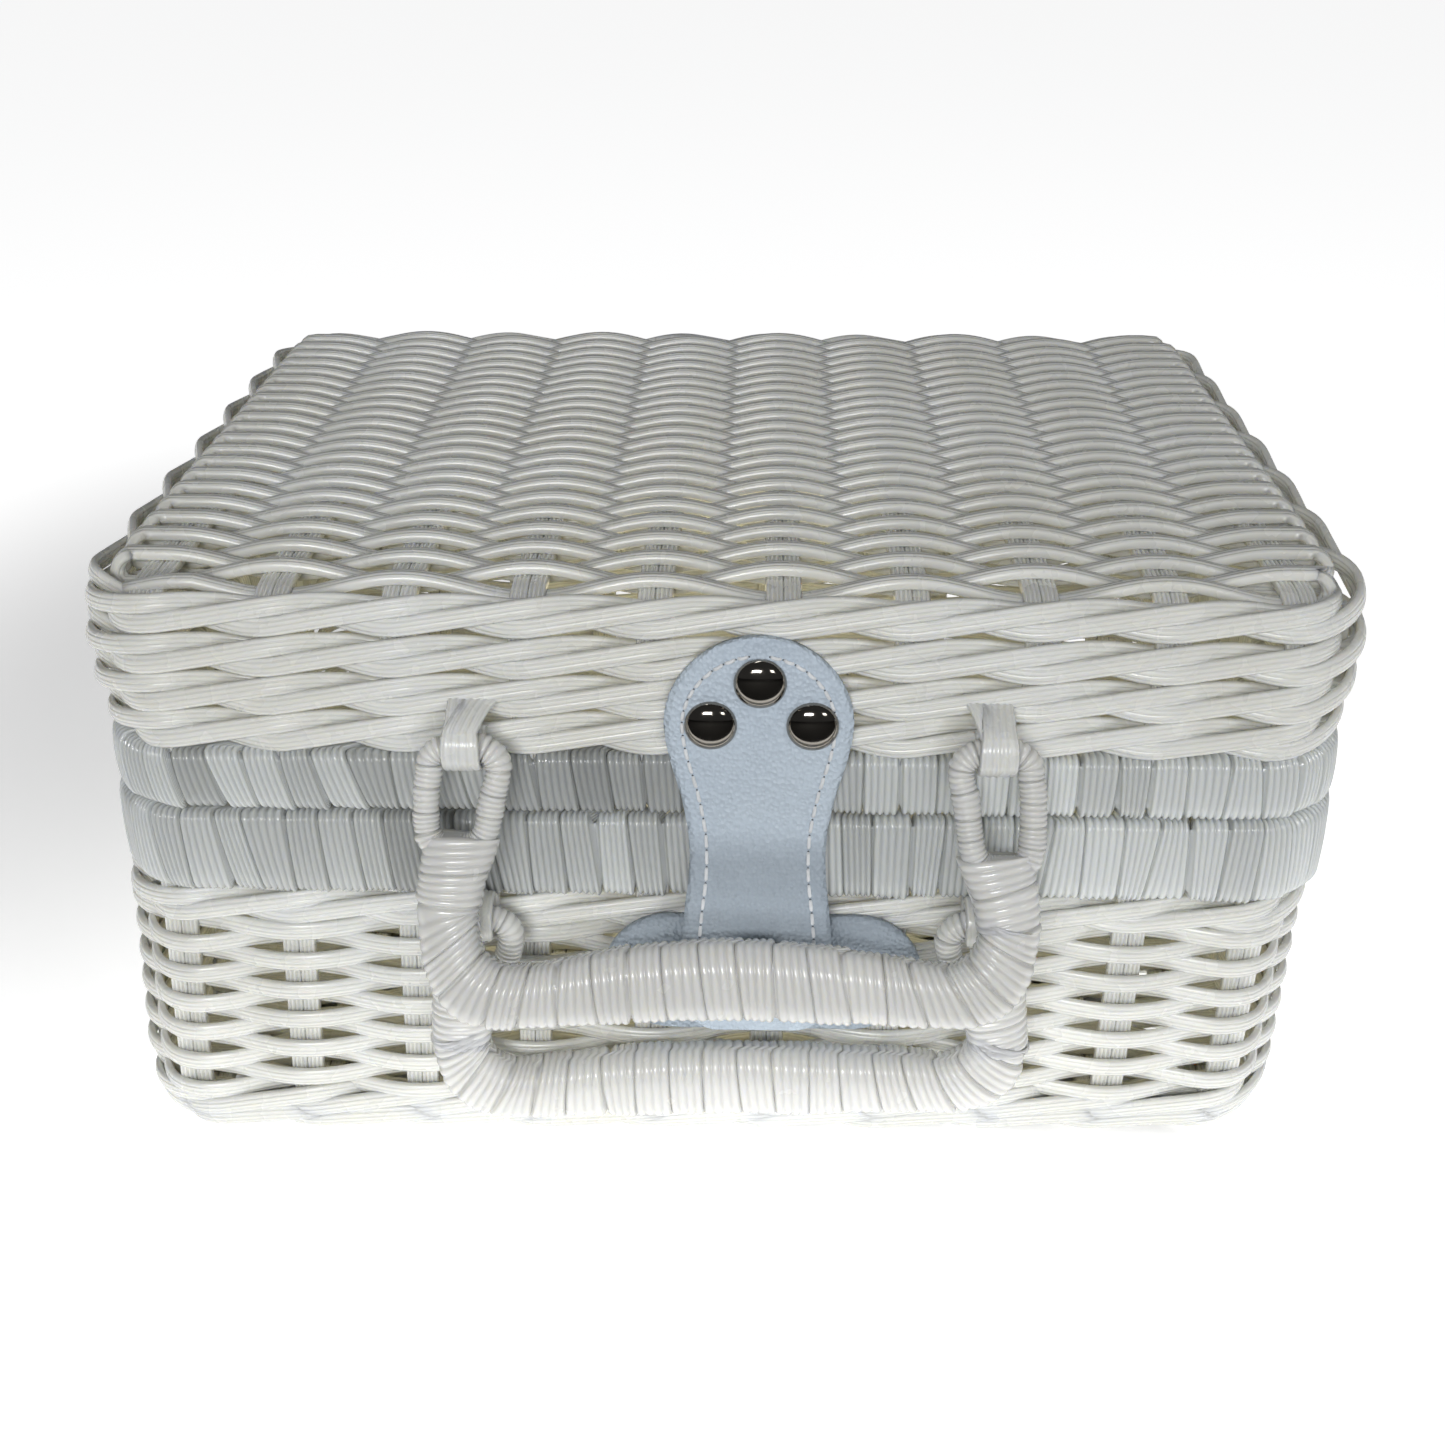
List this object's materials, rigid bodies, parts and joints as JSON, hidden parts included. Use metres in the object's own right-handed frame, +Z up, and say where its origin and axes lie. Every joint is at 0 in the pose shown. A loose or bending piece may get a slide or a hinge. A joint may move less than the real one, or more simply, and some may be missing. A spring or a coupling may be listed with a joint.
{
  "type": "wicker storage trunk",
  "caption": "Suitcase-shaped woven cane basket with a hinged lid, wrapped rims, two swinging handles and a riveted leather strap that closes with a press stud.",
  "frame": {"origin": "middle of the base's underside, on the surface that the trunk stands on", "axes": "+X along the trunk's width to the right seen from the front, +Y from front to back, +Z up; the handles and the strap are on the -Y side"},
  "size_m": [0.3, 0.2586, 0.155],
  "materials": {
    "woven_cane": "ivory ribbed plastic cane, softly glossy",
    "handle_strip": "ivory ribbed strip, wound tight, glossy",
    "rim_strip": "cool white ribbed strip, glossy",
    "pale_leather": "pale blue-grey imitation leather with fine grain and white stitching",
    "nickel": "polished nickel",
    "steel_wire": "plain drawn wire"
  },
  "bodies": {
    "basket": {"body_base_weave": "woven_cane", "body_side_weave": "woven_cane", "body_rim_wrap": "rim_strip", "body_rim_wire": "steel_wire", "hinge_binding_left_lower": "rim_strip", "hinge_binding_right_lower": "rim_strip", "body_handle_loop_left": "handle_strip", "body_handle_loop_right": "handle_strip", "stud_patch": "pale_leather", "press_stud_socket": "nickel", "patch_rivet_left": "nickel", "patch_rivet_right": "nickel"},
    "lid": {"lid_top_weave": "woven_cane", "lid_side_weave": "woven_cane", "lid_rim_wrap": "rim_strip", "lid_rim_wire": "steel_wire", "hinge_binding_left_upper": "rim_strip", "hinge_binding_right_upper": "rim_strip", "lid_handle_loop_left": "handle_strip", "lid_handle_loop_right": "handle_strip", "strap_upper": "pale_leather", "strap_rivet_top": "nickel", "strap_rivet_left": "nickel", "strap_rivet_right": "nickel", "strap_washer_top": "nickel", "strap_washer_left": "nickel", "strap_washer_right": "nickel"},
    "lid_handle": {"lid_handle_grip_wrap": "handle_strip", "lid_handle_core_wire": "steel_wire", "lid_handle_eye_left": "handle_strip", "lid_handle_eye_right": "handle_strip"},
    "body_handle": {"body_handle_grip_wrap": "handle_strip", "body_handle_core_wire": "steel_wire", "body_handle_eye_left": "handle_strip", "body_handle_eye_right": "handle_strip"},
    "strap": {"strap_flap": "pale_leather", "press_stud_cap": "nickel"}
  },
  "joints": [
    {"name": "lid_hinge", "type": "hinge", "parent": "basket", "child": "lid", "pos_m": [0, 0.1143, 0.0963], "axis": [-1, 0, 0], "range_deg": [0, 110]},
    {"name": "lid_handle_swing", "type": "hinge", "parent": "lid", "child": "lid_handle", "pos_m": [0.0026, -0.1195, 0.1197], "axis": [-1, 0, 0], "range_deg": [0, 150]},
    {"name": "body_handle_swing", "type": "hinge", "parent": "basket", "child": "body_handle", "pos_m": [0.0026, -0.1185, 0.072], "axis": [-1, 0, 0], "range_deg": [0, 150]},
    {"name": "strap_bend", "type": "hinge", "parent": "lid", "child": "strap", "pos_m": [0.0093, -0.1138, 0.104], "axis": [-1, 0, 0], "range_deg": [0, 10]}
  ],
  "couplings": [
    {"joint": "body_handle_swing", "follows": "lid_handle_swing", "ratio": 1}
  ]
}
